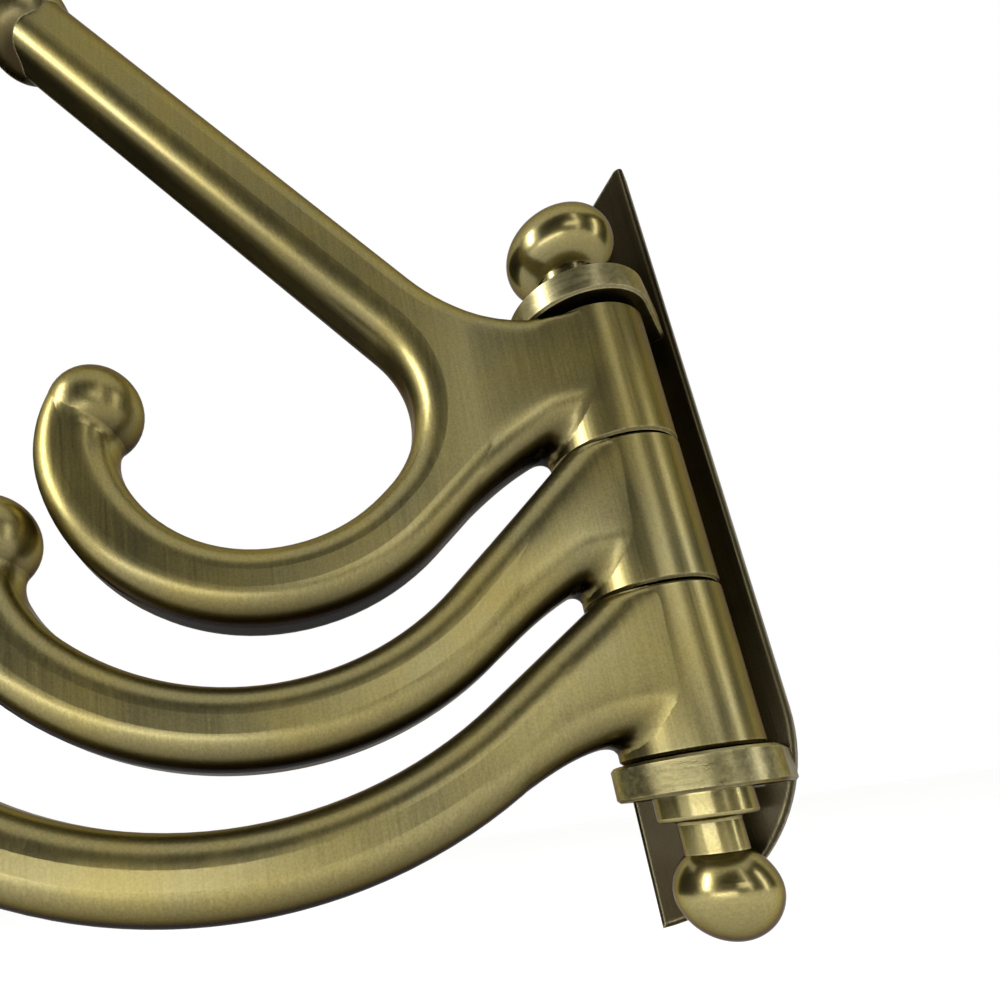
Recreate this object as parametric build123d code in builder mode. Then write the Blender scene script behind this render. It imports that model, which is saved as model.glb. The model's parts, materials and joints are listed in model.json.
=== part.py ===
from build123d import *
from math import atan2, cos, degrees, radians, sin, sqrt, tan
import os

# Swivel wall hook: a wall plate carries two lugs, a pin stands between them, and three cast arms
# swing on the pin one above the other. Millimetres. +Z is up, the wall is the plane Y = 0 and the
# arms reach towards -Y. The origin is on the wall, midway between the two screw holes.

# Pin and the barrels that turn on it
pin_radius = 3.0
running_clearance = 0.06
barrel_radius = 8.1
barrel_height = 19.4
barrel_edge = 0.35
seat_gap = 0.3
head_gap = 1.0
arm_count = 3
pick_tolerance = 0.01

# Lugs, each tenoned into the plate
lug_overhang = 1.3
lug_thickness = 4.1
lug_edge = 0.35
tenon_width = 11.0
fit_clearance = 0.05

# Wall plate: straight sides, a mitred head and a foot rounded on the right
plate_thickness = 3.0
plate_margin = 1.1
plate_edge = 0.5
plate_rise = 29.0
plate_drop = 16.0
foot_rise = 25.0
mitre_angle = 42.0
tip_radius = 0.8
wall_gap = 1.5

# Countersunk wall screws, behind the barrels
screw_hole_radius = 2.25
screw_head_radius = 4.25
screw_spacing = 30.0

# Finials, screwed on the reduced ends of the pin
thread_radius = 2.0
thread_length = 7.0
bore_spare = 0.6
ball_radius = 7.7
ball_half_height = 6.2
ball_centre_height = 10.0
ball_neck_radius = 4.4
ball_collar_radius = 5.8
ball_collar_height = 1.4
drop_radius = 5.7
drop_half_height = 5.4
drop_centre_height = 10.9
drop_neck_radius = 3.5
drop_collar_radius = 5.5
drop_collar_height = 2.9
bulb_side = 0.82
neck_fillet = 0.5
turned_edge = 0.5

# Arms: round-edged bars that flare into their barrels
hook_width = 10.0
arm_thickness = 10.4
arm_rounding = 3.9
flare_radius = 60.0
root_step = 0.35
root_start = 3.5
knob_radius = 6.3
knob_lap = 0.5
tip_bend_radius = 24.0
curl_radius = 14.0
curl_turn = 45.0
rest_swing = 52.0

# The upper arm's prong, and the hollows each side of its root
prong_width = 10.6
prong_angle = 51.2
prong_length = 100.0
prong_root_reach = 14.0
prong_root_rise = 2.7
prong_knob_radius = 7.2
crotch_land = 1.3
web_radius = 25.0
web_rise = 1.2
lug_swing_gap = 0.6

# Straight part of each run, from the pin's axis, and the radius of the bend after it
lower_run = 24.7
lower_bend_radius = 60.0
middle_run = 29.6
middle_bend_radius = 41.0
upper_run = 38.9
upper_bend_radius = 27.0

# One row per arm, from the lowest up: name, straight part, bend radius, and in degrees the fall of
# the run, the rise of the bend past its lowest point, and the turn of the tip
arms = [
    ("lower_arm", lower_run, lower_bend_radius, 35.5, 33.2, 29.8),
    ("middle_arm", middle_run, middle_bend_radius, 42.0, 40.0, 23.4),
    ("upper_arm", upper_run, upper_bend_radius, 42.0, 0.0, 75.0),
]

# Levels and offsets that follow from the sizes above
axis_y = -(plate_thickness + wall_gap + barrel_radius)
barrel_pitch = barrel_height + seat_gap
lug_span = arm_count * barrel_pitch + head_gap
lower_seat = -lug_span / 2
upper_seat = lug_span / 2
lug_radius = barrel_radius + lug_overhang
plate_width = 2 * (lug_radius + plate_margin)
pin_bore_radius = pin_radius + running_clearance
thread_bore_radius = thread_radius + fit_clearance
thread_bore_depth = thread_length + bore_spare

os.makedirs("parts", exist_ok=True)


def save(part, name):
    part.label = name
    export_step(part, f"parts/{name}.step")


# Wall plate
side = plate_width / 2
foot = lower_seat - lug_thickness - plate_drop
tip = upper_seat + lug_thickness + plate_rise
shoulder = tip - plate_width * tan(radians(mitre_angle))
foot_radius = (plate_width**2 + foot_rise**2) / (2 * plate_width)
tenon_slot = (tenon_width + 2 * fit_clearance, lug_thickness + 2 * fit_clearance)

with BuildPart() as wall_plate:
    with BuildSketch(Plane.XZ) as outline:
        with BuildLine():
            Line((-side, shoulder), (-side, foot))
            RadiusArc((-side, foot), (side, foot + foot_rise), -foot_radius)
            Line((side, foot + foot_rise), (side, tip))
            Line((side, tip), (-side, shoulder))
        make_face()
        fillet(outline.vertices().sort_by_distance((side, tip))[0], tip_radius)
    extrude(amount=plate_thickness)
    front_rim = wall_plate.faces().sort_by(Axis.Y)[0].edges()
    chamfer(front_rim, plate_edge)
    with BuildSketch(Plane.XZ):
        for seat in (lower_seat - lug_thickness / 2, upper_seat + lug_thickness / 2):
            with Locations((0, seat)):
                Rectangle(*tenon_slot)
    extrude(amount=plate_thickness, mode=Mode.SUBTRACT)
    with Locations(Plane.XZ.offset(plate_thickness)):
        with GridLocations(0, screw_spacing, 1, 2):
            CounterSinkHole(screw_hole_radius, screw_head_radius, counter_sink_angle=90)
save(wall_plate.part, "wall_plate")


def lug(bottom):
    """A tongue with a round nose, bored for the pin, with a tenon for the plate."""
    with BuildPart() as tongue:
        with BuildSketch(Plane.XY.offset(bottom)):
            with Locations((0, axis_y)):
                Circle(lug_radius)
            with Locations((0, (axis_y - plate_thickness) / 2)):
                Rectangle(2 * lug_radius, -axis_y - plate_thickness)
        extrude(amount=lug_thickness)
        rims = tongue.faces().filter_by(Axis.Z).edges()
        plate_side = tongue.faces().sort_by(Axis.Y)[-1].edges()
        chamfer([e for e in rims if e not in plate_side], lug_edge)
        with BuildSketch(Plane.XY.offset(bottom)):
            with Locations((0, -plate_thickness / 2 - fit_clearance)):
                Rectangle(tenon_width, plate_thickness - 2 * fit_clearance)
        extrude(amount=lug_thickness)
        with Locations((0, axis_y, bottom + lug_thickness)):
            Hole(pin_radius + fit_clearance)
    return tongue.part


save(lug(lower_seat - lug_thickness), "lower_lug")
save(lug(upper_seat), "upper_lug")

# Pin: full size between the outer faces of the lugs, reduced at both ends for the finials
with BuildPart() as pivot_pin:
    with BuildSketch(Plane.XY.offset(lower_seat - lug_thickness)):
        with Locations((0, axis_y)):
            Circle(pin_radius)
    extrude(amount=lug_span + 2 * lug_thickness)
    with BuildSketch(Plane.XY.offset(lower_seat - lug_thickness - thread_length)):
        with Locations((0, axis_y)):
            Circle(thread_radius)
    extrude(amount=lug_span + 2 * lug_thickness + 2 * thread_length)
save(pivot_pin.part, "pivot_pin")


def finial(seat, up, collar, neck_radius, bulb):
    """A turned finial: a collar on the lug, a neck and a rounded bulb, bored for the pin's end."""
    collar_radius, collar_height = collar
    bulb_radius, bulb_half_height, bulb_centre = bulb
    side_radius = bulb_half_height * bulb_side
    crown_drop = ((bulb_radius - side_radius) ** 2 - (bulb_half_height - side_radius) ** 2) / (
        2 * (bulb_half_height - side_radius)
    )
    crown_turn = degrees(atan2(bulb_radius - side_radius, crown_drop))
    turning = Plane(origin=(0, axis_y, seat), x_dir=(1, 0, 0), z_dir=(0, -up, 0))
    with BuildPart() as turned:
        with BuildSketch(turning):
            with BuildLine():
                top = (0, bulb_centre + bulb_half_height)
                crown = JernArc(top, (1, 0), bulb_half_height + crown_drop, -crown_turn)
                flank = JernArc(crown @ 1, crown % 1, side_radius, 2 * crown_turn - 180)
                base = JernArc(flank @ 1, flank % 1, bulb_half_height + crown_drop, -crown_turn)
                Line(base @ 1, top)
            make_face()
            Rectangle(neck_radius, bulb_centre, align=(Align.MIN, Align.MIN))
            Rectangle(collar_radius, collar_height, align=(Align.MIN, Align.MIN))
        revolve(axis=Axis((0, axis_y, 0), (0, 0, 1)))
        rounds = turned.edges().filter_by(GeomType.CIRCLE)
        collar_level = seat + up * collar_height
        collar_top = rounds.filter_by(lambda e: abs(e.center().Z - collar_level) < pick_tolerance)
        fillet(collar_top.filter_by(lambda e: abs(e.radius - collar_radius) < pick_tolerance), turned_edge)
        fillet(collar_top.filter_by(lambda e: abs(e.radius - neck_radius) < pick_tolerance), neck_fillet)
        with BuildSketch(Plane(origin=(0, axis_y, seat), x_dir=(1, 0, 0), z_dir=(0, 0, up))):
            Circle(thread_bore_radius)
        extrude(amount=thread_bore_depth, mode=Mode.SUBTRACT)
    return turned.part


ball_collar = (ball_collar_radius, ball_collar_height)
ball_bulb = (ball_radius, ball_half_height, ball_centre_height)
save(finial(upper_seat + lug_thickness, 1, ball_collar, ball_neck_radius, ball_bulb), "ball_finial")
drop_collar = (drop_collar_radius, drop_collar_height)
drop_bulb = (drop_radius, drop_half_height, drop_centre_height)
save(finial(lower_seat - lug_thickness, -1, drop_collar, drop_neck_radius, drop_bulb), "drop_finial")


# Arms
swing = radians(rest_swing)
outward = (-sin(swing), -cos(swing), 0)
across = (-cos(swing), sin(swing), 0)
half_width = hook_width / 2
half_thickness = arm_thickness / 2
root_radius = barrel_radius - root_step
arm_reach = 2 * prong_length


def run_start(fall):
    """Height on the pin's axis from which the run falls, its upper edge meeting the barrel's rim."""
    return barrel_height + barrel_radius * tan(radians(fall)) - half_width / cos(radians(fall))


def arm(level, straight, bend, fall, rise, tip_turn, has_prong):
    """One arm: run, bend and tip of even width, flared into its barrel and ended by a knob."""
    side_plane = Plane(origin=(0, axis_y, level), x_dir=outward, z_dir=across)
    plan_plane = Plane(origin=(0, axis_y, level - arm_reach / 2), x_dir=outward, z_dir=(0, 0, 1))
    knobs = []
    with BuildPart() as made:
        with BuildSketch(side_plane) as outline:
            slope = Vector(cos(radians(fall)), -sin(radians(fall)))
            start = Vector(0, run_start(fall))
            with BuildLine():
                run = Line(start - slope * 2 * barrel_radius, start + slope * straight)
                low = JernArc(run @ 1, slope, bend, fall + rise)
                tip = JernArc(low @ 1, low % 1, tip_bend_radius, tip_turn)
                curl = JernArc(tip @ 1, tip % 1, curl_radius, curl_turn)
            trace(line_width=hook_width)
            inward = (curl % 1).rotate(Axis.Z, 90)
            knob_centre = curl @ 1 + inward * (knob_radius - half_width - knob_lap)
            knobs.append((knob_centre, curl % 1, knob_radius))
            if has_prong:
                web_top = barrel_height + web_rise
                with Locations((0, web_top + barrel_height)):
                    Rectangle(4 * barrel_radius, 2 * barrel_height, mode=Mode.SUBTRACT)
                prong_slope = Vector(cos(radians(prong_angle)), sin(radians(prong_angle)))
                fall_slope = tan(radians(fall))
                run_height = start.Y - prong_root_reach * fall_slope
                prong_start = Vector(prong_root_reach, run_height + prong_root_rise)
                with BuildLine():
                    prong = Line(prong_start, prong_start + prong_slope * prong_length)
                trace(line_width=prong_width)
                web_reach = prong_root_reach + prong_width / 3
                with Locations((web_reach / 2, web_top - barrel_height / 6)):
                    Rectangle(web_reach, barrel_height / 3)
                knobs.append((prong @ 1, prong % 1, prong_knob_radius))
                rise_slope = tan(radians(prong_angle))
                apart = start.Y - prong_start.Y + half_width / slope.X + prong_width / 2 / prong_slope.X
                crotch_reach = (apart + prong_root_reach * rise_slope) / (fall_slope + rise_slope)
                crotch_height = start.Y + half_width / slope.X - crotch_reach * fall_slope
                crotch_centre = Vector(crotch_reach, crotch_height)
                crotch_room = straight - (crotch_centre - start).dot(slope) - crotch_land
                crotch = outline.vertices().sort_by_distance(crotch_centre)[0]
                fillet(crotch, crotch_room * tan(radians(fall + prong_angle) / 2))
                web = outline.vertices().sort_by_distance((prong_root_reach, web_top))[0]
                fillet(web, web_radius)
        extrude(amount=barrel_radius, both=True)
        with BuildSketch(plan_plane):
            flare_y = half_thickness + flare_radius
            flare_x = sqrt((root_radius + flare_radius) ** 2 - flare_y**2)
            meet = root_radius / (root_radius + flare_radius)
            root_y = flare_y - sqrt(flare_radius**2 - (flare_x - root_start) ** 2)
            with BuildLine():
                Line((root_start, -root_y), (root_start, root_y))
                for sign in (1, -1):
                    flare_end = (flare_x, sign * half_thickness)
                    RadiusArc((root_start, sign * root_y), flare_end, -sign * flare_radius)
                    Line(flare_end, (arm_reach, sign * half_thickness))
                Line((arm_reach, half_thickness), (arm_reach, -half_thickness))
            make_face()
        extrude(amount=2 * arm_reach, mode=Mode.INTERSECT)

        def runs_along(edge):
            near, far = (side_plane.to_local_coords(edge.position_at(end)) for end in (0, 1))
            capped = min(abs(edge.length - hook_width), abs(edge.length - prong_width)) < 0.001
            return near.Z * far.Z > 0 and abs(near.X - far.X) > 0.01 and not capped

        fillet(made.edges().filter_by(runs_along), arm_rounding)
        with BuildSketch(side_plane) as barrel:
            with Locations((barrel_radius / 2, barrel_height / 2)):
                Rectangle(barrel_radius, barrel_height)
            chamfer(barrel.vertices().filter_by(lambda v: v.X > barrel_radius / 2), barrel_edge)
        revolve(axis=Axis((0, axis_y, 0), (0, 0, 1)))
        with BuildSketch(Plane(origin=(0, axis_y, level + barrel_height))):
            Circle(lug_radius + lug_swing_gap)
        extrude(amount=arm_reach, mode=Mode.SUBTRACT)
        with BuildSketch(Plane(origin=(0, axis_y, level))):
            Circle(pin_bore_radius)
        extrude(amount=barrel_height, mode=Mode.SUBTRACT)
        for centre, direction, radius in knobs:
            with Locations(side_plane.location * Plane(origin=centre, z_dir=direction).location):
                Sphere(radius)
    return made


for row, (name, *shape) in enumerate(arms):
    seat = lower_seat + seat_gap + row * barrel_pitch
    save(arm(seat, *shape, has_prong=name == "upper_arm").part, name)
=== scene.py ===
import json
import math

import bmesh
import bpy
import numpy as np
from mathutils import Matrix, Vector


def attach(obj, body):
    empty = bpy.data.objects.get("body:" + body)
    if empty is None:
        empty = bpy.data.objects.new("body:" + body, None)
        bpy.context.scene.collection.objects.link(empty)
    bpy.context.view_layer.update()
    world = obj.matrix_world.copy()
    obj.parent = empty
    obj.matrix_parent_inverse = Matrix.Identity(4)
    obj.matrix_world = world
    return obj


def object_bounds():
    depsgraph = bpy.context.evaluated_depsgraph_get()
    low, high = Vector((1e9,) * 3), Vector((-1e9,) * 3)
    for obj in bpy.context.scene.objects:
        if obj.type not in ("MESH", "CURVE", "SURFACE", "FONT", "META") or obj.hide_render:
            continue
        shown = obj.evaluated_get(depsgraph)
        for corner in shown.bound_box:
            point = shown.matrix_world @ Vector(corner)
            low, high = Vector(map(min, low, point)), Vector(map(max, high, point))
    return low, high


# Swivel wall hook in antique brass: a wall plate with two lugs, a pin, two finials and three arms that
# swing on the pin. The shapes come from the frame; this file gives them their finishes, the cast fillets
# of the arms, the stage and the light.

bl_info = {
    "name": "Swivel Wall Hook",
    "version": (1, 0, 0),
    "blender": (4, 5, 0),
    "location": "3D View > Sidebar > Wall Hook",
    "description": "Antique brass finishes, stage, light and camera for a swivel wall hook",
    "category": "Object",
}

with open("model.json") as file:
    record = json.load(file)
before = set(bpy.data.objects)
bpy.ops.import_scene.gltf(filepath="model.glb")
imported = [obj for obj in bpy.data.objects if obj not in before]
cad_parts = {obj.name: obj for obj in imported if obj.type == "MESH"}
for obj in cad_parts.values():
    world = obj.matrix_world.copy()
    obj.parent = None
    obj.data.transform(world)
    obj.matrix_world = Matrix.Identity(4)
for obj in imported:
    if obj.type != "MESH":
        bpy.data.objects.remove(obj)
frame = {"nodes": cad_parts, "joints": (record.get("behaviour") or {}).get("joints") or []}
cad_lo, cad_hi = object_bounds()

MM = 0.001
ARMS = ("lower_arm", "middle_arm", "upper_arm")
LUGS = ("lower_lug", "upper_lug")
FINIALS = ("ball_finial", "drop_finial")
# The arms stand this far from straight out, towards the left of the plate.
REST_SWING = math.radians(52)
# The pin's axis, and the way that the arms point from it at rest.
PIN_AXIS = Vector(frame["joints"][0]["pos_m"])
ARM_WAY = Vector((-math.sin(REST_SWING), -math.cos(REST_SWING), 0.0))
BARREL_RADIUS = 8.1 * MM
BARREL_HEIGHT = 19.4 * MM
BARREL_TOPS = {"lower_arm": -10.35 * MM, "middle_arm": 9.35 * MM, "upper_arm": 29.05 * MM}
# The middle of each arm's knob: how far out from the pin, and how high.
KNOBS = {
    "lower_arm": (96.1 * MM, -6.8 * MM),
    "middle_arm": (81.8 * MM, 7.2 * MM),
    "upper_arm": (68.1 * MM, 24.7 * MM),
}
KNOB_RADIUS = 6.3 * MM
# Half the arms' thickness, and the radius by which their flanks widen to the barrels.
HALF_THICKNESS = 5.2 * MM
FLANK_RADIUS = 60 * MM
# How far below a fillet's own skin it ends up, so that the arm's skin shows where nothing was filled.
SINK = 0.03 * MM
# Height of the brushed relief.
RELIEF = 0.03 * MM

# The camera stands where the photograph's stood, close to the hook and a little below it.
CAMERA_PLACE = (0.0163, -0.1059, -0.0355)
CAMERA_RIGHT = Vector((0.79966, 0.58628, -0.12968))
CAMERA_UP = Vector((0.26699, -0.15373, 0.95136))
LENS, SENSOR = 25.64, 36.0
SHIFT_X, SHIFT_Y = 0.1529, 0.1438

# The point among the arms that the lamps and cards face, in metres like all places of the stage.
STAGE_CENTRE = (-0.03, -0.03, 0.02)
FLOOR_HALF_WIDTH = 12.0
# Dark cards that the metal mirrors: name, middle, width and height.
CARDS = (
    ("card_front", (0.40, -0.70, 0.10), 1.7, 1.5),
    ("card_left", (-0.80, -0.05, 0.05), 0.8, 1.2),
    ("card_right", (0.75, 0.05, 0.05), 0.9, 1.2),
)
# Soft lamps: name, middle, width, height and watts.
LAMPS = (
    ("lamp_key", (-0.40, -0.62, 0.36), 0.12, 0.5, 3.8),
    ("lamp_low", (0.02, -0.45, -0.05), 0.4, 0.02, 0.35),
    ("lamp_flank", (0.546, -0.542, 0.18), 0.3, 0.14, 0.38),
    ("lamp_right", (0.45, -0.30, 0.20), 0.05, 0.5, 0.25),
    ("lamp_side", (0.68, 0.04, 0.12), 0.06, 0.5, 0.7),
)


def linear(hex_colour):
    """Turns an sRGB hex colour into the linear values that a shader reads."""
    channels = [int(hex_colour[i : i + 2], 16) / 255 for i in (1, 3, 5)]
    return tuple(c / 12.92 if c <= 0.04045 else ((c + 0.055) / 1.055) ** 2.4 for c in channels)


def colour(name, description, hex_colour):
    """A colour that a user may change."""
    return bpy.props.FloatVectorProperty(
        name=name, description=description, subtype="COLOR", size=3, min=0.0, max=1.0,
        default=linear(hex_colour),
    )


def distance(name, description, millimetres):
    """A size that a user may change."""
    return bpy.props.FloatProperty(
        name=name, description=description, subtype="DISTANCE", unit="LENGTH", min=0.0,
        default=millimetres * MM, precision=5,
    )


class WALLHOOK_PG_colours(bpy.types.PropertyGroup):
    brass: colour("Brass", "Olive gold of the lacquered brass", "#968D62")
    brass_warm: colour("Warm brass", "Yellower cloud in the brass", "#A3955A")
    rubbed: colour("Rubbed brass", "Paler brass along rubbed edges", "#CFC596")
    # Patina in the recesses; the same colour is painted shade on the faces that look down.
    patina_and_shade: colour("Patina", "Dark brown left in recesses and underneath", "#2E2512")
    edge_tint: colour("Edge tint", "Tone of the brass seen at a shallow angle", "#7C7048")
    # The plate's near-black brown is painted shade and dark reflection laid on its brass.
    plate: colour("Plate", "Darkened brass of the wall plate", "#3A3423")
    floor: colour("Floor", "Pale floor", "#FDFDFC")
    card: colour("Card", "Dark studio card that the metal mirrors", "#191712")


class WALLHOOK_PG_sizes(bpy.types.PropertyGroup):
    # Real brushed lines lie about 0.1 mm apart and the lacquer's grain is as fine. Both are too fine to
    # show in the render, so the two pitches and the grain are drawn three to six times as coarse.
    brush_pitch: distance("Brush pitch", "Spacing of the brushed lines", 0.32)
    rim_pitch: distance("Rim brush pitch", "Spacing of the coarser lines on the lug rims", 0.55)
    grain: distance("Grain", "Size of the fine grain under the lacquer", 0.3)
    cloud: distance("Cloud", "Size of the clouds in the colour", 14.0)
    recess: distance("Recess", "How far patina creeps out of a recess", 4.0)
    edge: distance("Edge", "Width of the rubbed band along an edge", 0.45)
    root_reach: distance("Root reach", "How far from the pin the cast fillets run", 32.0)
    root_flare: distance("Root flare", "How far from the pin an arm starts to flare to its barrel", 23.0)
    root_fillet: distance("Root fillet", "Radius of the fillets between an arm and its barrel", 9.0)
    root_facet: distance("Root facet", "Size of the facets in the root fillets", 0.5)
    tip_fillet: distance("Tip fillet", "Radius of the neck under a knob", 5.4)
    tip_facet: distance("Tip facet", "Size of the facets in the tip fillets", 0.36)
    floor_drop: distance("Floor drop", "Floor below the hook's lowest point", 30.0)


def add_node(tree, kind, settings=None, inputs=None, output=0):
    """Adds a node, sets its attributes, sets or links its inputs, and returns one of its outputs."""
    node = tree.nodes.new(kind)
    for key, value in (settings or {}).items():
        setattr(node, key, value)
    for key, value in (inputs or {}).items():
        if isinstance(value, bpy.types.NodeSocket):
            tree.links.new(value, node.inputs[key])
        else:
            node.inputs[key].default_value = value
    return node.outputs[output] if node.outputs else None


def brushed_brass(
    name, base, cloud_colour, run_axis, run, pitch,
    rough, brush, coat=0.0, coat_rough=0.2, below=0.0, bump=0.25,
):
    """Brass with brushed lines, grain, clouds, patina in its recesses and rubbed edges.

    The strokes lie along run_axis, are run long and one pitch apart. brush says how strong they are, and
    below how much painted shade, in the patina colour, darkens the faces that look down.
    """
    colours = bpy.context.scene.wallhook_colours
    sizes = bpy.context.scene.wallhook_sizes
    material = bpy.data.materials.new(name)
    material.use_nodes = True
    tree = material.node_tree
    tree.nodes.clear()
    place = add_node(tree, "ShaderNodeTexCoord", output="Object")

    # Brushed lines: noise one pitch wide, drawn out along the stroke.
    stroke = [1 / pitch, 1 / pitch, 1 / pitch]
    stroke[run_axis] = 1 / run
    drawn = add_node(tree, "ShaderNodeMapping", {}, {"Vector": place, "Scale": stroke})
    lines = add_node(
        tree, "ShaderNodeTexNoise", {},
        {"Vector": drawn, "Scale": 1.0, "Detail": 3.0, "Roughness": 0.6}, "Fac",
    )

    # Fine grain of the lacquered casting.
    grain = add_node(
        tree, "ShaderNodeTexNoise", {},
        {"Vector": place, "Scale": 1 / sizes.grain, "Detail": 2.0, "Roughness": 0.55}, "Fac",
    )

    # Clouds a few millimetres to a centimetre wide, where the finish took unevenly.
    cloud_noise = add_node(
        tree, "ShaderNodeTexNoise", {},
        {"Vector": place, "Scale": 1 / sizes.cloud, "Detail": 3.0, "Roughness": 0.5, "Distortion": 0.4},
        "Fac",
    )
    clouds = add_node(tree, "ShaderNodeMapRange", {}, {0: cloud_noise, 1: 0.32, 2: 0.68})

    # Recesses hold the patina; only the piece's own shape counts, so it stays put as arms swing.
    openness = add_node(
        tree, "ShaderNodeAmbientOcclusion", {"samples": 6, "only_local": True},
        {"Distance": sizes.recess}, "AO",
    )
    recess = add_node(tree, "ShaderNodeMapRange", {}, {0: openness, 1: 0.35, 2: 0.85, 3: 1.0, 4: 0.0})

    # Edges, found where a rounded normal leaves the true one, are rubbed bright along the strokes.
    rounded = add_node(tree, "ShaderNodeBevel", {"samples": 4}, {"Radius": sizes.edge})
    flat = add_node(tree, "ShaderNodeNewGeometry", output="Normal")
    agree = add_node(
        tree, "ShaderNodeVectorMath", {"operation": "DOT_PRODUCT"}, {0: rounded, 1: flat}, "Value"
    )
    edge = add_node(tree, "ShaderNodeMapRange", {}, {0: agree, 1: 0.90, 2: 0.995, 3: 0.6, 4: 0.0})
    scratch = add_node(tree, "ShaderNodeMapRange", {}, {0: lines, 1: 0.35, 2: 0.65, 3: 0.35, 4: 1.0})
    worn = add_node(tree, "ShaderNodeMath", {"operation": "MULTIPLY"}, {0: edge, 1: scratch})

    # Painted shade: faces that look down get the patina colour, more the further they look down.
    facing = add_node(tree, "ShaderNodeTexCoord", output="Normal")
    up = add_node(tree, "ShaderNodeSeparateXYZ", {}, {0: facing}, "Z")
    under = add_node(tree, "ShaderNodeMapRange", {}, {0: up, 1: -0.9, 2: -0.16, 3: below, 4: 0.0})

    line_shade = add_node(
        tree, "ShaderNodeMapRange", {}, {0: lines, 1: 0.3, 2: 0.7, 3: 1.0 - 0.35 * brush, 4: 1.0}
    )
    grain_shade = add_node(tree, "ShaderNodeMapRange", {}, {0: grain, 1: 0.3, 2: 0.7, 3: 0.78, 4: 1.0})
    tone = add_node(
        tree, "ShaderNodeMix", {"data_type": "RGBA"},
        {0: clouds, 6: (*base, 1.0), 7: (*cloud_colour, 1.0)}, 2,
    )
    for shade in (line_shade, grain_shade):
        tone = add_node(
            tree, "ShaderNodeMix", {"data_type": "RGBA", "blend_type": "MULTIPLY"},
            {0: 1.0, 6: tone, 7: shade}, 2,
        )
    # The first share is painted shade on faces that look down; then the patina in recesses and the rubbed
    # edges.
    for share, over in ((under, colours.patina_and_shade), (recess, colours.patina_and_shade), (worn, colours.rubbed)):
        tone = add_node(
            tree, "ShaderNodeMix", {"data_type": "RGBA"}, {0: share, 6: tone, 7: (*over, 1.0)}, 2
        )

    # The lines between strokes are smoother, and clouds a little duller.
    streaked = add_node(
        tree, "ShaderNodeMath", {"operation": "MULTIPLY_ADD"},
        {0: lines, 1: 0.22 * brush, 2: rough - 0.11 * brush},
    )
    roughness = add_node(
        tree, "ShaderNodeMath", {"operation": "MULTIPLY_ADD"}, {0: clouds, 1: 0.05, 2: streaked}
    )

    strokes = add_node(tree, "ShaderNodeMath", {"operation": "MULTIPLY"}, {0: lines, 1: brush})
    height = add_node(tree, "ShaderNodeMath", {"operation": "MULTIPLY_ADD"}, {0: grain, 1: 0.5, 2: strokes})
    relief = add_node(
        tree, "ShaderNodeBump", {}, {"Height": height, "Strength": bump, "Distance": RELIEF}
    )

    surface = add_node(
        tree, "ShaderNodeBsdfPrincipled", {},
        {
            "Base Color": tone,
            "Metallic": 1.0,
            "Roughness": roughness,
            "Normal": relief,
            "Specular Tint": (*colours.edge_tint, 1.0),
            "Coat Weight": coat,
            "Coat Roughness": coat_rough,
        },
    )
    add_node(tree, "ShaderNodeOutputMaterial", {}, {"Surface": surface})
    return material


def matt_paint(name, paint):
    """A matt painted surface of one colour."""
    material = bpy.data.materials.new(name)
    material.use_nodes = True
    tree = material.node_tree
    tree.nodes.clear()
    surface = add_node(
        tree, "ShaderNodeBsdfPrincipled", {}, {"Base Color": (*paint, 1.0), "Roughness": 0.9}
    )
    add_node(tree, "ShaderNodeOutputMaterial", {}, {"Surface": surface})
    return material


def dress(nodes, material):
    """Gives CAD nodes their finish."""
    for name in nodes:
        piece = frame["nodes"][name]
        piece.data.materials.clear()
        piece.data.materials.append(material)


class WALLHOOK_OT_finish_plate(bpy.types.Operator):
    """Gives the wall plate its brushed brass, painted near black as shade"""

    bl_idname = "wallhook.finish_plate"
    bl_label = "Finish plate"

    def execute(self, context):
        colours, sizes = context.scene.wallhook_colours, context.scene.wallhook_sizes
        # Rolled brass sheet, brushed upright. Its near-black brown is painted shade and dark reflection on
        # the brass: faint upright lines, a dull sheen and a thread of bare brass along its rims.
        dress(("wall_plate",), brushed_brass(
            "sheet_brass_brushed_painted_shade", colours.plate, colours.patina_and_shade,
            2, 24 * MM, sizes.brush_pitch, rough=0.28, brush=0.6, coat=0.1,
        ))
        return {"FINISHED"}


class WALLHOOK_OT_finish_lugs(bpy.types.Operator):
    """Gives the two lugs their coarsely brushed rims"""

    bl_idname = "wallhook.finish_lugs"
    bl_label = "Finish lugs"

    def execute(self, context):
        colours, sizes = context.scene.wallhook_colours, context.scene.wallhook_sizes
        # Brass plate, milled to shape and brushed across: pale rims whose coarse level strokes glint in
        # short streaks, and undersides darkened with painted shade.
        dress(LUGS, brushed_brass(
            "plate_brass_milled_and_brushed", colours.brass, colours.rubbed,
            0, 6 * MM, sizes.rim_pitch, rough=0.3, brush=0.9, coat=0.1, below=0.9, bump=0.5,
        ))
        return {"FINISHED"}


class WALLHOOK_OT_finish_pin(bpy.types.Operator):
    """Gives the pin its drawn brass"""

    bl_idname = "wallhook.finish_pin"
    bl_label = "Finish pin"

    def execute(self, context):
        colours, sizes = context.scene.wallhook_colours, context.scene.wallhook_sizes
        # Brass rod, drawn and left bare: fine lines along its length and browned where no barrel rubs
        # it. Only a thread of it shows in the joints.
        dress(("pivot_pin",), brushed_brass(
            "rod_brass_drawn", colours.brass, colours.patina_and_shade,
            2, 12 * MM, sizes.brush_pitch, rough=0.28, brush=0.5,
        ))
        return {"FINISHED"}


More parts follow.
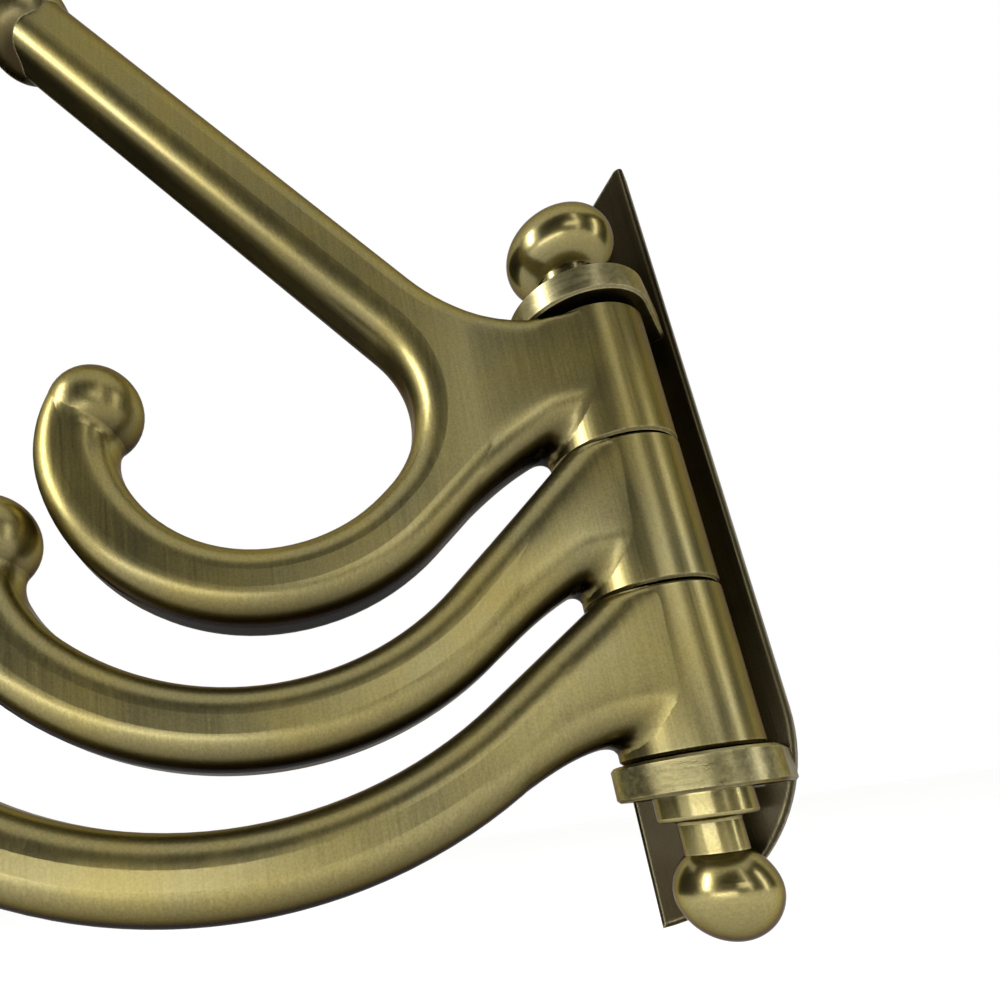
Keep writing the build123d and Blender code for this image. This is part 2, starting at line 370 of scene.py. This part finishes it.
class WALLHOOK_OT_finish_finials(bpy.types.Operator):
    """Gives the ball and the drop their turned, lacquered brass"""

    bl_idname = "wallhook.finish_finials"
    bl_label = "Finish finials"

    def execute(self, context):
        colours, sizes = context.scene.wallhook_colours, context.scene.wallhook_sizes
        # Brass bar, turned, polished on the lathe and lacquered: the smoothest of the finishes, with
        # small bright lights, dark mirrored bands and hardly a stroke to be seen.
        # below=0.5 darkens the faces that look down with painted shade in the patina colour.
        dress(FINIALS, brushed_brass(
            "bar_brass_turned_and_lacquered", colours.brass, colours.brass_warm,
            0, 5 * MM, sizes.brush_pitch, rough=0.22, brush=0.25, coat=0.25, coat_rough=0.1,
            below=0.5, bump=0.12,
        ))
        return {"FINISHED"}


class WALLHOOK_OT_finish_arms(bpy.types.Operator):
    """Gives the three arms their satin brass"""

    bl_idname = "wallhook.finish_arms"
    bl_label = "Finish arms"

    def execute(self, context):
        colours, sizes = context.scene.wallhook_colours, context.scene.wallhook_sizes
        # Cast brass, brushed upright, browned and satin lacquered: wide soft lights in olive gold, fine
        # upright strokes, a grain under the lacquer, patina in the hollows and painted shade underneath.
        dress(ARMS, brushed_brass(
            "cast_brass_satin_lacquered", colours.brass, colours.brass_warm,
            2, 14 * MM, sizes.brush_pitch, rough=0.3, brush=0.5, coat=0.12, below=1.0, bump=0.4,
        ))
        return {"FINISHED"}


def add_object(name, data):
    """Puts an object in the scene."""
    made = bpy.data.objects.new(name, data)
    bpy.context.scene.collection.objects.link(made)
    return made


def mesh_data(name, mesh):
    """Turns a bmesh into a mesh, and frees it."""
    data = bpy.data.meshes.new(name)
    mesh.to_mesh(data)
    mesh.free()
    return data


def merged_copy(arm):
    """A copy of an arm's own mesh, with its loose triangles joined."""
    mesh = bmesh.new()
    mesh.from_mesh(frame["nodes"][arm].data)
    bmesh.ops.remove_doubles(mesh, verts=mesh.verts, dist=0.001 * MM)
    return mesh


def cut_away(mesh, point, way):
    """Cuts off what lies beyond a plane, and closes the cut."""
    bmesh.ops.bisect_plane(
        mesh, geom=[*mesh.verts, *mesh.edges, *mesh.faces], dist=0.001 * MM,
        plane_co=point, plane_no=way, clear_outer=True,
    )
    bmesh.ops.holes_fill(mesh, edges=[edge for edge in mesh.edges if edge.is_boundary], sides=0)


def even_facets(mesh, facet):
    """Joins all that overlaps in a bmesh to one closed skin of even facets."""
    draft = add_object("rough", mesh_data("rough", mesh))
    remesh = draft.modifiers.new("even", "REMESH")
    remesh.mode = "VOXEL"
    remesh.voxel_size = facet
    even = bpy.data.meshes.new_from_object(draft.evaluated_get(bpy.context.evaluated_depsgraph_get()))
    rough = draft.data
    bpy.data.objects.remove(draft)
    bpy.data.meshes.remove(rough)
    return even


def section_of(mesh, reach):
    """The points where an upright plane, this far from the pin, cuts the arm."""
    cut = mesh.copy()
    bmesh.ops.bisect_plane(
        cut, geom=[*cut.verts, *cut.edges, *cut.faces], dist=0.001 * MM,
        plane_co=PIN_AXIS + ARM_WAY * reach, plane_no=ARM_WAY, clear_outer=True, clear_inner=True,
    )
    points = [vertex.co.copy() for vertex in cut.verts]
    cut.free()
    return points


def flared_sections(mesh, arm, flare):
    """Sections of an arm from its barrel outwards, flared towards the barrel.

    Each is widened to a hollow curve that meets the barrel's side, and its lower edge is let down towards
    the barrel's foot.
    """
    low = BARREL_TOPS[arm] - BARREL_HEIGHT + 2.2 * MM
    high = BARREL_TOPS[arm] - 0.4 * MM
    lower_edge = 5 * MM
    rise_inwards = 0.9
    side = Vector((-ARM_WAY.y, ARM_WAY.x, 0.0))
    # The flank's arc leaves the straight flank at tangent, and touches the barrel at touch. The arm has no
    # section of its own nearer than start, so the ones inside it repeat that one, raised a little.
    start = BARREL_RADIUS + 0.9 * MM
    sweep = FLANK_RADIUS + HALF_THICKNESS
    tangent = math.sqrt((BARREL_RADIUS + FLANK_RADIUS) ** 2 - sweep**2)
    touch = tangent * BARREL_RADIUS / (BARREL_RADIUS + FLANK_RADIUS)
    inner, outer = 4, 7
    stations = [touch + (start - touch) * step / inner for step in range(inner)]
    stations += [start + (flare - start) * step / outer for step in range(outer + 1)]

    drop = min(point.z for point in section_of(mesh, start)) - low
    sections = []
    for station in stations:
        source = max(station, start)
        section = section_of(mesh, source)
        lowest = min(point.z for point in section)
        own_half = max(abs((point - PIN_AXIS).dot(side)) for point in section)
        half = HALF_THICKNESS
        if station < tangent:
            half = sweep - math.sqrt(FLANK_RADIUS**2 - (tangent - station) ** 2)
        fall = drop * ((flare - source) / (flare - start)) ** 2
        for point in section:
            across = (point - PIN_AXIS).dot(side)
            if point.z < lowest + lower_edge:
                point.z -= fall
            else:
                point.z += (source - station) * rise_inwards
            point.z = min(point.z, high) if station < start else point.z
            point += side * across * (half / own_half - 1) + ARM_WAY * (station - source)
        sections.append(section)
    return sections


def root_of(arm, reach, flare, facet):
    """The arm's inner end, flared towards the barrel, in even facets and closed at the cut."""
    mesh = merged_copy(arm)
    sections = flared_sections(mesh, arm, flare)
    cut_away(mesh, PIN_AXIS + ARM_WAY * reach, ARM_WAY)
    for near, far in zip(sections, sections[1:]):
        block = bmesh.new()
        for point in (*near, *far):
            block.verts.new(point)
        bmesh.ops.convex_hull(block, input=block.verts)
        data = mesh_data("block", block)
        mesh.from_mesh(data)
        bpy.data.meshes.remove(data)
    return even_facets(mesh, facet)


def tip_of(arm, centre, facet):
    """The knob and the end of the curl below it, in even facets and closed at the cuts."""
    mesh = merged_copy(arm)
    below, above, inwards = 11 * MM, 9 * MM, 12 * MM
    up = Vector((0.0, 0.0, 1.0))
    for reach, way in ((below, -up), (above, up), (inwards, -ARM_WAY)):
        cut_away(mesh, centre + way * reach, way)
    return even_facets(mesh, facet)


def points_of(data):
    """A mesh's points as rows."""
    points = np.empty(len(data.vertices) * 3)
    data.vertices.foreach_get("co", points)
    return points.reshape(-1, 3)


def root_freedom(points, top, fade_end):
    """1 where a root may fill; 0 in the barrel's wall, beside the lug above, and out along the arm."""
    inside_wall, fade_along, fade_below_top = 0.5 * MM, 6 * MM, 2 * MM
    out = points[:, :2] - np.array(PIN_AXIS[:2])
    free = np.hypot(*out.T) > BARREL_RADIUS - inside_wall
    along = out @ np.array(ARM_WAY[:2])
    free = free * ((fade_end - along) / fade_along).clip(0.0, 1.0)
    return free * ((top - points[:, 2]) / fade_below_top).clip(0.0, 1.0)


def tip_freedom(points, centre):
    """1 round the knob's neck; 0 a knob's width away."""
    fade_end, fade = 10.8 * MM, 2 * MM
    away = np.linalg.norm(points - np.array(centre), axis=1)
    return ((fade_end - away) / fade).clip(0.0, 1.0)


def fill_hollows(data, free, bend, facet, rounds, soften=0):
    """Raises hollow corners until they bend no more than this, then sinks the skin just under the arm's.

    For the first rounds, soften of them, bumps are eased down as well.
    """
    points = points_of(data)
    count = len(points)
    ends = np.empty(len(data.edges) * 2, int)
    data.edges.foreach_get("vertices", ends)
    first, second = ends.reshape(-1, 2).T
    near = np.bincount(first, minlength=count) + np.bincount(second, minlength=count)
    normals = np.empty(count * 3)
    data.vertices.foreach_get("normal", normals)
    normals = normals.reshape(-1, 3)
    # A point on a surface that bends this much lies this far below the middle of its neighbours.
    level = facet**2 * bend / 4
    for turn in range(rounds):
        middle = np.stack([
            np.bincount(first, points[second, axis], count) + np.bincount(second, points[first, axis], count)
            for axis in range(3)
        ], 1) / near[:, None]
        rise = ((middle - points) * normals).sum(1)
        if turn >= soften:
            rise = (rise - level).clip(0.0)
        points += normals * (0.5 * free * rise)[:, None]
    points -= normals * SINK
    data.vertices.foreach_set("co", points.ravel())
    data.polygons.foreach_set("use_smooth", [True] * len(data.polygons))
    data.update()


def add_to_arm(arm, name, data):
    """Puts a fillet in the scene, in its arm's finish, to ride with the arm."""
    data.materials.clear()
    data.materials.append(frame["nodes"][arm].data.materials[0])
    fillet = add_object(name, data)
    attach(fillet, arm)


class WALLHOOK_OT_root_fillets(bpy.types.Operator):
    """Adds the cast fillets by which each arm runs into its barrel"""

    bl_idname = "wallhook.root_fillets"
    bl_label = "Add root fillets"

    def execute(self, context):
        sizes = context.scene.wallhook_sizes
        fade_end = sizes.root_reach - 4 * MM
        for arm in ARMS:
            data = root_of(arm, sizes.root_reach, sizes.root_flare, sizes.root_facet)
            free = root_freedom(points_of(data), BARREL_TOPS[arm], fade_end)
            fill_hollows(data, free, 1 / sizes.root_fillet, sizes.root_facet, rounds=700, soften=10)
            add_to_arm(arm, arm + "_root_fillet", data)
        return {"FINISHED"}


class WALLHOOK_OT_tip_fillets(bpy.types.Operator):
    """Adds the necks by which each curl runs into its knob"""

    bl_idname = "wallhook.tip_fillets"
    bl_label = "Add tip fillets"

    def execute(self, context):
        sizes = context.scene.wallhook_sizes
        # Round the neck the knob's own roundness counts against the hollow's.
        bend = 1 / sizes.tip_fillet - 1 / KNOB_RADIUS
        for arm in ARMS:
            reach, height = KNOBS[arm]
            centre = PIN_AXIS + ARM_WAY * reach + Vector((0.0, 0.0, height))
            data = tip_of(arm, centre, sizes.tip_facet)
            free = tip_freedom(points_of(data), centre)
            fill_hollows(data, free, bend, sizes.tip_facet, rounds=700)
            add_to_arm(arm, arm + "_tip_fillet", data)
        return {"FINISHED"}


def towards_centre(place, axis):
    """The turn that points an axis from this place to the middle of the stage."""
    return (Vector(STAGE_CENTRE) - Vector(place)).to_track_quat(axis, "Y")


def add_card(name, place, width, height, material):
    """A flat studio card that faces the hook; the camera doesn't see it, and it throws no shadow."""
    mesh = bmesh.new()
    bmesh.ops.create_grid(mesh, x_segments=1, y_segments=1, size=0.5)
    turn = towards_centre(place, "Z").to_matrix().to_4x4()
    spot = Matrix.Translation(place) @ turn @ Matrix.Diagonal((width, height, 1.0, 1.0))
    bmesh.ops.transform(mesh, matrix=spot, verts=mesh.verts)
    data = mesh_data(name, mesh)
    data.materials.append(material)
    made = add_object(name, data)
    made.visible_camera = False
    made.visible_shadow = False
    made.visible_diffuse = False


def add_lamp(name, place, width, height, watts):
    """A rectangular soft lamp that faces the hook."""
    data = bpy.data.lights.new(name, "AREA")
    data.shape = "RECTANGLE"
    data.size = width
    data.size_y = height
    data.energy = watts
    lamp = add_object(name, data)
    lamp.location = place
    lamp.rotation_euler = towards_centre(place, "-Z").to_euler()


class WALLHOOK_OT_stage(bpy.types.Operator):
    """Sets the floor, the white surroundings, the lamps and the camera"""

    bl_idname = "wallhook.stage"
    bl_label = "Set stage"

    def execute(self, context):
        scene = context.scene
        colours, sizes = scene.wallhook_colours, scene.wallhook_sizes
        scene.view_settings.view_transform = "Standard"

        mesh = bmesh.new()
        bmesh.ops.create_grid(mesh, x_segments=1, y_segments=1, size=FLOOR_HALF_WIDTH)
        bmesh.ops.translate(mesh, verts=mesh.verts, vec=(0.0, 0.0, cad_lo.z - sizes.floor_drop))
        data = mesh_data("floor", mesh)
        # Painted board, rolled matt: an even near white that mirrors nothing.
        data.materials.append(matt_paint("floor_matt_paint", colours.floor))
        add_object("floor", data)

        # Card, printed matt: an even near black, seen only as dark bands in the brass.
        dark = matt_paint("card_matt_black", colours.card)
        for name, place, width, height in CARDS:
            add_card(name, place, width, height, dark)
        for name, place, width, height, watts in LAMPS:
            add_lamp(name, place, width, height, watts)

        # A white world at strength 1 lights the hook from all round, and is the white background too.
        world = bpy.data.worlds.new("studio")
        scene.world = world
        world.use_nodes = True
        world.node_tree.nodes.clear()
        white = add_node(
            world.node_tree, "ShaderNodeBackground", {}, {"Color": (1.0, 1.0, 1.0, 1.0), "Strength": 1.0}
        )
        add_node(world.node_tree, "ShaderNodeOutputWorld", {}, {"Surface": white})

        view = bpy.data.cameras.new("camera")
        view.lens = LENS
        view.sensor_width = SENSOR
        view.shift_x = SHIFT_X
        view.shift_y = SHIFT_Y
        view.clip_start = 0.005
        view.clip_end = 40.0
        camera = add_object("camera", view)
        back = CAMERA_RIGHT.cross(CAMERA_UP)
        turn = Matrix((CAMERA_RIGHT, CAMERA_UP, back)).transposed().to_4x4()
        camera.matrix_world = Matrix.Translation(CAMERA_PLACE) @ turn
        scene.camera = camera
        return {"FINISHED"}


GROUPS = (WALLHOOK_PG_colours, WALLHOOK_PG_sizes)
OPERATORS = (
    WALLHOOK_OT_finish_plate,
    WALLHOOK_OT_finish_lugs,
    WALLHOOK_OT_finish_pin,
    WALLHOOK_OT_finish_finials,
    WALLHOOK_OT_finish_arms,
    WALLHOOK_OT_root_fillets,
    WALLHOOK_OT_tip_fillets,
    WALLHOOK_OT_stage,
)


class WALLHOOK_PT_panel(bpy.types.Panel):
    """Lists the finishes, the fillets and the stage"""

    bl_idname = "WALLHOOK_PT_panel"
    bl_label = "Wall Hook"
    bl_space_type = "VIEW_3D"
    bl_region_type = "UI"
    bl_category = "Wall Hook"

    def draw(self, context):
        layout = self.layout
        for operator in OPERATORS:
            layout.operator(operator.bl_idname)
        for group in (context.scene.wallhook_colours, context.scene.wallhook_sizes):
            for key in group.__annotations__:
                layout.prop(group, key)


def register():
    for made in (*GROUPS, *OPERATORS, WALLHOOK_PT_panel):
        bpy.utils.register_class(made)
    bpy.types.Scene.wallhook_colours = bpy.props.PointerProperty(type=WALLHOOK_PG_colours)
    bpy.types.Scene.wallhook_sizes = bpy.props.PointerProperty(type=WALLHOOK_PG_sizes)


def unregister():
    del bpy.types.Scene.wallhook_sizes
    del bpy.types.Scene.wallhook_colours
    for made in reversed((*GROUPS, *OPERATORS, WALLHOOK_PT_panel)):
        bpy.utils.unregister_class(made)


def main():
    register()
    bpy.ops.wallhook.finish_plate()
    bpy.ops.wallhook.finish_lugs()
    bpy.ops.wallhook.finish_pin()
    bpy.ops.wallhook.finish_finials()
    bpy.ops.wallhook.finish_arms()
    bpy.ops.wallhook.root_fillets()
    bpy.ops.wallhook.tip_fillets()
    bpy.ops.wallhook.stage()


if __name__ == "__main__":
    main()
